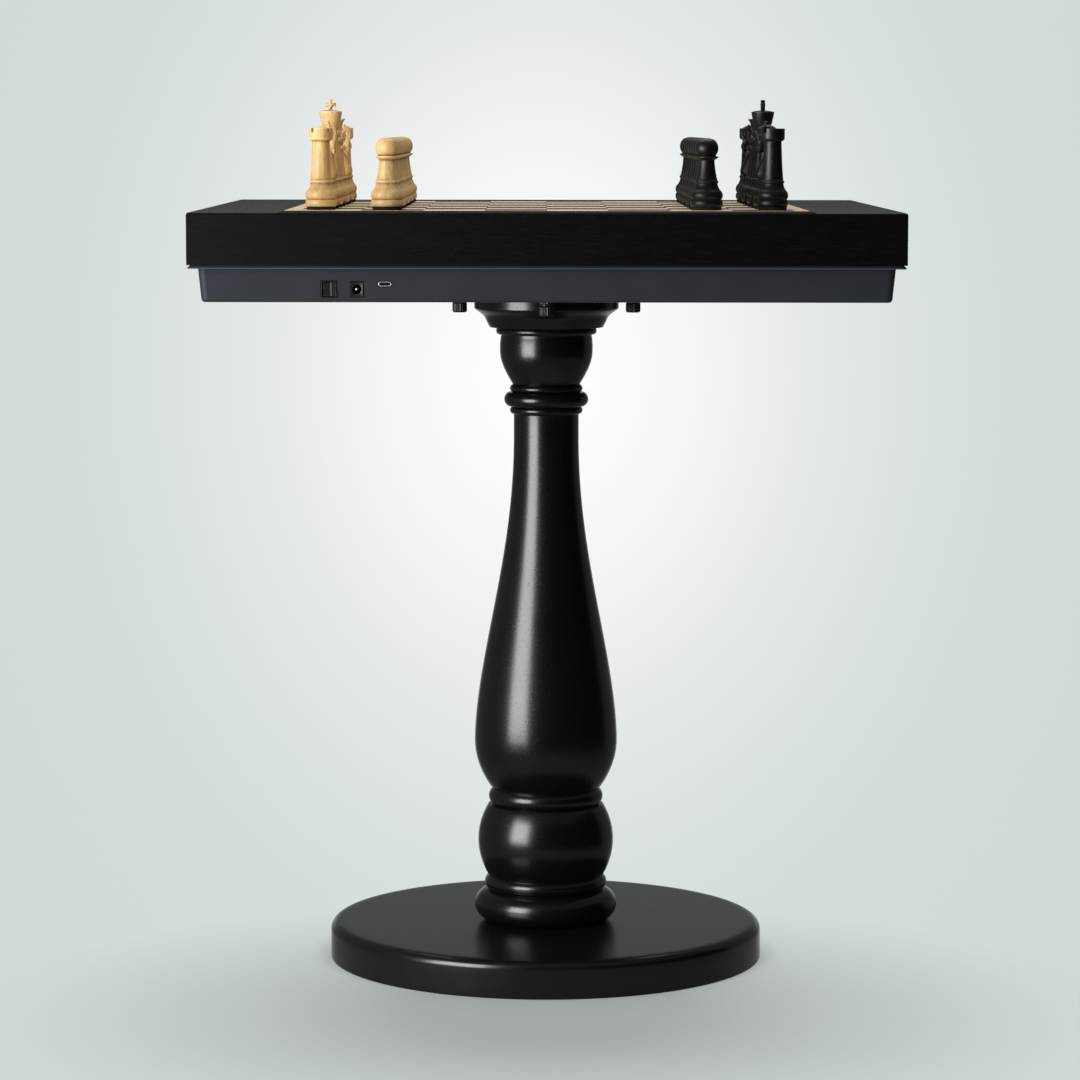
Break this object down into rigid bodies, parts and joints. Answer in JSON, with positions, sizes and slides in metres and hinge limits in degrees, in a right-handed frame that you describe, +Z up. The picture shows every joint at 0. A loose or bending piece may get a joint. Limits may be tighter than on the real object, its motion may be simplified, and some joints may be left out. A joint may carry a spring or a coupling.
{
  "type": "electronic chess computer",
  "caption": "Square self-moving chess board in a dark wooden box on a turned pedestal, with lift-off chessmen, connectors in one wall and a belt-driven magnet carriage inside.",
  "frame": {"origin": "on the floor under the column's axis", "axes": "+Z up, -Y towards the side with the connectors, +X towards the dark chessmen"},
  "size_m": [0.488, 0.488, 0.6368],
  "materials": {
    "black_lacquer": "gloss black lacquer",
    "black_steel": "satin black",
    "steel": "bright",
    "tray_plastic": "satin moulded",
    "dark_wood": "open-grain satin",
    "dark_square_wood": "satin",
    "light_square_wood": "satin",
    "circuit_board": "solder mask",
    "black_plastic": "moulded",
    "rocker_plastic": "satin",
    "port_metal": "plated",
    "drive_plastic": "moulded",
    "magnet_metal": "plated",
    "motor_metal": "satin black",
    "pulley_metal": "machined",
    "belt_rubber": "ribbed",
    "light_boxwood": "satin oiled",
    "dark_ebonised_wood": "satin stained"
  },
  "bodies": {
    "table": {"base_disc": "black_lacquer", "column": "black_lacquer", "top_flange": "black_lacquer", "mounting_plate": "black_steel", "thumbscrews": "black_steel", "steel_fasteners": "steel", "lower_tray": "tray_plastic", "frame_rails": "dark_wood", "board_panel": "dark_square_wood", "light_inlay": "light_square_wood", "sensor_board": "circuit_board", "main_circuit_board": "circuit_board", "power_switch_housing": "black_plastic", "dc_power_jack": "black_plastic", "usb_c_port": "port_metal", "x_guide_rods": "steel", "x_motor": "motor_metal", "x_belt": "belt_rubber"},
    "bridge": {"bridge": "drive_plastic", "y_motor": "motor_metal", "y_belt": "belt_rubber"},
    "magnet_carriage": {"magnet_carriage": "drive_plastic", "electromagnet": "magnet_metal"},
    "x_drive_pulley": {"x_drive_pulley": "pulley_metal"},
    "x_idler_pulley": {"x_idler_pulley": "pulley_metal"},
    "y_drive_pulley": {"y_drive_pulley": "pulley_metal"},
    "y_idler_pulley": {"y_idler_pulley": "pulley_metal"},
    "power_rocker": {"power_rocker": "rocker_plastic"},
    "white_rook_h": {"white_rook_h": "light_boxwood"},
    "white_knight_g": {"white_knight_g": "light_boxwood"},
    "white_bishop_f": {"white_bishop_f": "light_boxwood"},
    "white_king": {"white_king": "light_boxwood"},
    "white_queen": {"white_queen": "light_boxwood"},
    "white_bishop_c": {"white_bishop_c": "light_boxwood"},
    "white_knight_b": {"white_knight_b": "light_boxwood"},
    "white_rook_a": {"white_rook_a": "light_boxwood"},
    "white_pawn_h": {"white_pawn_h": "light_boxwood"},
    "white_pawn_g": {"white_pawn_g": "light_boxwood"},
    "white_pawn_f": {"white_pawn_f": "light_boxwood"},
    "white_pawn_e": {"white_pawn_e": "light_boxwood"},
    "white_pawn_d": {"white_pawn_d": "light_boxwood"},
    "white_pawn_c": {"white_pawn_c": "light_boxwood"},
    "white_pawn_b": {"white_pawn_b": "light_boxwood"},
    "white_pawn_a": {"white_pawn_a": "light_boxwood"},
    "black_pawn_h": {"black_pawn_h": "dark_ebonised_wood"},
    "black_pawn_g": {"black_pawn_g": "dark_ebonised_wood"},
    "black_pawn_f": {"black_pawn_f": "dark_ebonised_wood"},
    "black_pawn_e": {"black_pawn_e": "dark_ebonised_wood"},
    "black_pawn_d": {"black_pawn_d": "dark_ebonised_wood"},
    "black_pawn_c": {"black_pawn_c": "dark_ebonised_wood"},
    "black_pawn_b": {"black_pawn_b": "dark_ebonised_wood"},
    "black_pawn_a": {"black_pawn_a": "dark_ebonised_wood"},
    "black_rook_h": {"black_rook_h": "dark_ebonised_wood"},
    "black_knight_g": {"black_knight_g": "dark_ebonised_wood"},
    "black_bishop_f": {"black_bishop_f": "dark_ebonised_wood"},
    "black_king": {"black_king": "dark_ebonised_wood"},
    "black_queen": {"black_queen": "dark_ebonised_wood"},
    "black_bishop_c": {"black_bishop_c": "dark_ebonised_wood"},
    "black_knight_b": {"black_knight_b": "dark_ebonised_wood"},
    "black_rook_a": {"black_rook_a": "dark_ebonised_wood"}
  },
  "joints": [
    {"name": "bridge_slide", "type": "slide", "parent": "table", "child": "bridge", "axis": [1, 0, 0], "range_m": [-0.185, 0.185]},
    {"name": "carriage_slide", "type": "slide", "parent": "bridge", "child": "magnet_carriage", "axis": [0, 1, 0], "range_m": [-0.158, 0.158]},
    {"name": "x_drive_spin", "type": "hinge", "parent": "table", "child": "x_drive_pulley", "pos_m": [0.204, -0.201, 0.5215], "axis": [0, 0, 1], "range_deg": [-1600, 1600]},
    {"name": "x_idler_spin", "type": "hinge", "parent": "table", "child": "x_idler_pulley", "pos_m": [-0.204, -0.201, 0.5215], "axis": [0, 0, 1], "range_deg": [-1600, 1600]},
    {"name": "y_drive_spin", "type": "hinge", "parent": "bridge", "child": "y_drive_pulley", "pos_m": [0, 0.191, 0.5345], "axis": [0, 0, 1], "range_deg": [-1400, 1400]},
    {"name": "y_idler_spin", "type": "hinge", "parent": "bridge", "child": "y_idler_pulley", "pos_m": [0, -0.191, 0.5345], "axis": [0, 0, 1], "range_deg": [-1400, 1400]},
    {"name": "rocker_tilt", "type": "hinge", "parent": "table", "child": "power_rocker", "pos_m": [-0.148, -0.23326, 0.5074], "axis": [0, 0, 1], "range_deg": [-18, 0]},
    {"name": "white_rook_h_lift", "type": "slide", "parent": "table", "child": "white_rook_h", "axis": [0, 0, 1], "range_m": [0, 0.1]},
    {"name": "white_knight_g_lift", "type": "slide", "parent": "table", "child": "white_knight_g", "axis": [0, 0, 1], "range_m": [0, 0.1]},
    {"name": "white_bishop_f_lift", "type": "slide", "parent": "table", "child": "white_bishop_f", "axis": [0, 0, 1], "range_m": [0, 0.1]},
    {"name": "white_king_lift", "type": "slide", "parent": "table", "child": "white_king", "axis": [0, 0, 1], "range_m": [0, 0.1]},
    {"name": "white_queen_lift", "type": "slide", "parent": "table", "child": "white_queen", "axis": [0, 0, 1], "range_m": [0, 0.1]},
    {"name": "white_bishop_c_lift", "type": "slide", "parent": "table", "child": "white_bishop_c", "axis": [0, 0, 1], "range_m": [0, 0.1]},
    {"name": "white_knight_b_lift", "type": "slide", "parent": "table", "child": "white_knight_b", "axis": [0, 0, 1], "range_m": [0, 0.1]},
    {"name": "white_rook_a_lift", "type": "slide", "parent": "table", "child": "white_rook_a", "axis": [0, 0, 1], "range_m": [0, 0.1]},
    {"name": "white_pawn_h_lift", "type": "slide", "parent": "table", "child": "white_pawn_h", "axis": [0, 0, 1], "range_m": [0, 0.1]},
    {"name": "white_pawn_g_lift", "type": "slide", "parent": "table", "child": "white_pawn_g", "axis": [0, 0, 1], "range_m": [0, 0.1]},
    {"name": "white_pawn_f_lift", "type": "slide", "parent": "table", "child": "white_pawn_f", "axis": [0, 0, 1], "range_m": [0, 0.1]},
    {"name": "white_pawn_e_lift", "type": "slide", "parent": "table", "child": "white_pawn_e", "axis": [0, 0, 1], "range_m": [0, 0.1]},
    {"name": "white_pawn_d_lift", "type": "slide", "parent": "table", "child": "white_pawn_d", "axis": [0, 0, 1], "range_m": [0, 0.1]},
    {"name": "white_pawn_c_lift", "type": "slide", "parent": "table", "child": "white_pawn_c", "axis": [0, 0, 1], "range_m": [0, 0.1]},
    {"name": "white_pawn_b_lift", "type": "slide", "parent": "table", "child": "white_pawn_b", "axis": [0, 0, 1], "range_m": [0, 0.1]},
    {"name": "white_pawn_a_lift", "type": "slide", "parent": "table", "child": "white_pawn_a", "axis": [0, 0, 1], "range_m": [0, 0.1]},
    {"name": "black_pawn_h_lift", "type": "slide", "parent": "table", "child": "black_pawn_h", "axis": [0, 0, 1], "range_m": [0, 0.1]},
    {"name": "black_pawn_g_lift", "type": "slide", "parent": "table", "child": "black_pawn_g", "axis": [0, 0, 1], "range_m": [0, 0.1]},
    {"name": "black_pawn_f_lift", "type": "slide", "parent": "table", "child": "black_pawn_f", "axis": [0, 0, 1], "range_m": [0, 0.1]},
    {"name": "black_pawn_e_lift", "type": "slide", "parent": "table", "child": "black_pawn_e", "axis": [0, 0, 1], "range_m": [0, 0.1]},
    {"name": "black_pawn_d_lift", "type": "slide", "parent": "table", "child": "black_pawn_d", "axis": [0, 0, 1], "range_m": [0, 0.1]},
    {"name": "black_pawn_c_lift", "type": "slide", "parent": "table", "child": "black_pawn_c", "axis": [0, 0, 1], "range_m": [0, 0.1]},
    {"name": "black_pawn_b_lift", "type": "slide", "parent": "table", "child": "black_pawn_b", "axis": [0, 0, 1], "range_m": [0, 0.1]},
    {"name": "black_pawn_a_lift", "type": "slide", "parent": "table", "child": "black_pawn_a", "axis": [0, 0, 1], "range_m": [0, 0.1]},
    {"name": "black_rook_h_lift", "type": "slide", "parent": "table", "child": "black_rook_h", "axis": [0, 0, 1], "range_m": [0, 0.1]},
    {"name": "black_knight_g_lift", "type": "slide", "parent": "table", "child": "black_knight_g", "axis": [0, 0, 1], "range_m": [0, 0.1]},
    {"name": "black_bishop_f_lift", "type": "slide", "parent": "table", "child": "black_bishop_f", "axis": [0, 0, 1], "range_m": [0, 0.1]},
    {"name": "black_king_lift", "type": "slide", "parent": "table", "child": "black_king", "axis": [0, 0, 1], "range_m": [0, 0.1]},
    {"name": "black_queen_lift", "type": "slide", "parent": "table", "child": "black_queen", "axis": [0, 0, 1], "range_m": [0, 0.1]},
    {"name": "black_bishop_c_lift", "type": "slide", "parent": "table", "child": "black_bishop_c", "axis": [0, 0, 1], "range_m": [0, 0.1]},
    {"name": "black_knight_b_lift", "type": "slide", "parent": "table", "child": "black_knight_b", "axis": [0, 0, 1], "range_m": [0, 0.1]},
    {"name": "black_rook_a_lift", "type": "slide", "parent": "table", "child": "black_rook_a", "axis": [0, 0, 1], "range_m": [0, 0.1]}
  ],
  "couplings": [
    {"joint": "x_drive_spin", "follows": "bridge_slide", "rad_per_m": 147.06},
    {"joint": "x_idler_spin", "follows": "bridge_slide", "rad_per_m": 147.06},
    {"joint": "y_drive_spin", "follows": "carriage_slide", "rad_per_m": 147.06},
    {"joint": "y_idler_spin", "follows": "carriage_slide", "rad_per_m": 147.06}
  ]
}
